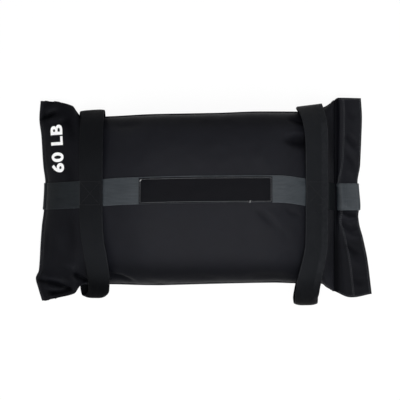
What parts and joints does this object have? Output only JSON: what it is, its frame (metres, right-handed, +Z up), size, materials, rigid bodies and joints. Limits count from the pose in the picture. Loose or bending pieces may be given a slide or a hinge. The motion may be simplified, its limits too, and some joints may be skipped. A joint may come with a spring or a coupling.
{
  "type": "sandbag trainer",
  "caption": "Filled cloth sandbag lying on its back, with webbing grip loops on both long sides, a folded end, a hemmed mouth flap and a lengthwise webbing.",
  "frame": {"origin": "on the floor, at the middle of the whole object's outline seen from above", "axes": "+X along the bag to the mouth, +Y to the upper long side in the picture, +Z up off the floor"},
  "size_m": [0.6253, 0.3853, 0.1319],
  "materials": {
    "black_cloth": "woven, coated inside, slight sheen",
    "black_webbing": "flat woven webbing",
    "grey_webbing": "ribbed webbing",
    "label_weave": "fine woven patch",
    "binding_tape": "woven tape",
    "hook_tape": "moulded hooks",
    "loop_tape": "brushed loops",
    "liner_cloth": "plain weave",
    "sand": "dry grains",
    "closing_strip": "pressed tape"
  },
  "bodies": {
    "bag": {"front_panel": "black_cloth", "back_panel": "black_cloth", "upper_seam_binding": "binding_tape", "lower_seam_binding": "binding_tape", "long_webbing": "grey_webbing", "label_patch": "label_weave", "left_front_tack": "black_webbing", "left_back_tack": "black_webbing", "right_front_tack": "black_webbing", "right_back_tack": "black_webbing", "filler_1_liner": "liner_cloth", "filler_1_sand": "sand", "filler_1_closing_strip": "closing_strip", "filler_2_liner": "liner_cloth", "filler_2_sand": "sand", "filler_2_closing_strip": "closing_strip", "filler_3_liner": "liner_cloth", "filler_3_sand": "sand", "filler_3_closing_strip": "closing_strip"},
    "left_upper_grip": {"left_upper_grip": "black_webbing"},
    "left_lower_grip": {"left_lower_grip": "black_webbing"},
    "right_upper_grip": {"right_upper_grip": "black_webbing"},
    "right_lower_grip": {"right_lower_grip": "black_webbing"},
    "mouth_flap": {"back_lip": "black_cloth", "hook_tape": "hook_tape"},
    "front_lip": {"front_lip": "black_cloth", "loop_tape": "loop_tape", "mouth_webbing": "grey_webbing"}
  },
  "joints": [
    {"name": "left_upper_grip_swing", "type": "hinge", "parent": "bag", "child": "left_upper_grip", "pos_m": [-0.2065, 0.0148, 0], "axis": [0, 0, 1], "range_deg": [-6, 0]},
    {"name": "left_lower_grip_swing", "type": "hinge", "parent": "bag", "child": "left_lower_grip", "pos_m": [-0.2065, 0.0148, 0], "axis": [0, 0, 1], "range_deg": [-3, 6]},
    {"name": "right_upper_grip_swing", "type": "hinge", "parent": "bag", "child": "right_upper_grip", "pos_m": [0.2065, 0.0148, 0], "axis": [0, 0, 1], "range_deg": [0, 6]},
    {"name": "right_lower_grip_swing", "type": "hinge", "parent": "bag", "child": "right_lower_grip", "pos_m": [0.2065, 0.0148, 0], "axis": [0, 0, 1], "range_deg": [-6, 0]},
    {"name": "mouth_fold", "type": "hinge", "parent": "bag", "child": "mouth_flap", "pos_m": [0.243, 0, 0.0235], "axis": [0, -1, 0], "range_deg": [0, 45]},
    {"name": "lip_peel", "type": "hinge", "parent": "mouth_flap", "child": "front_lip", "pos_m": [0.243, 0, 0.0235], "axis": [0, -1, 0], "range_deg": [0, 30]}
  ]
}
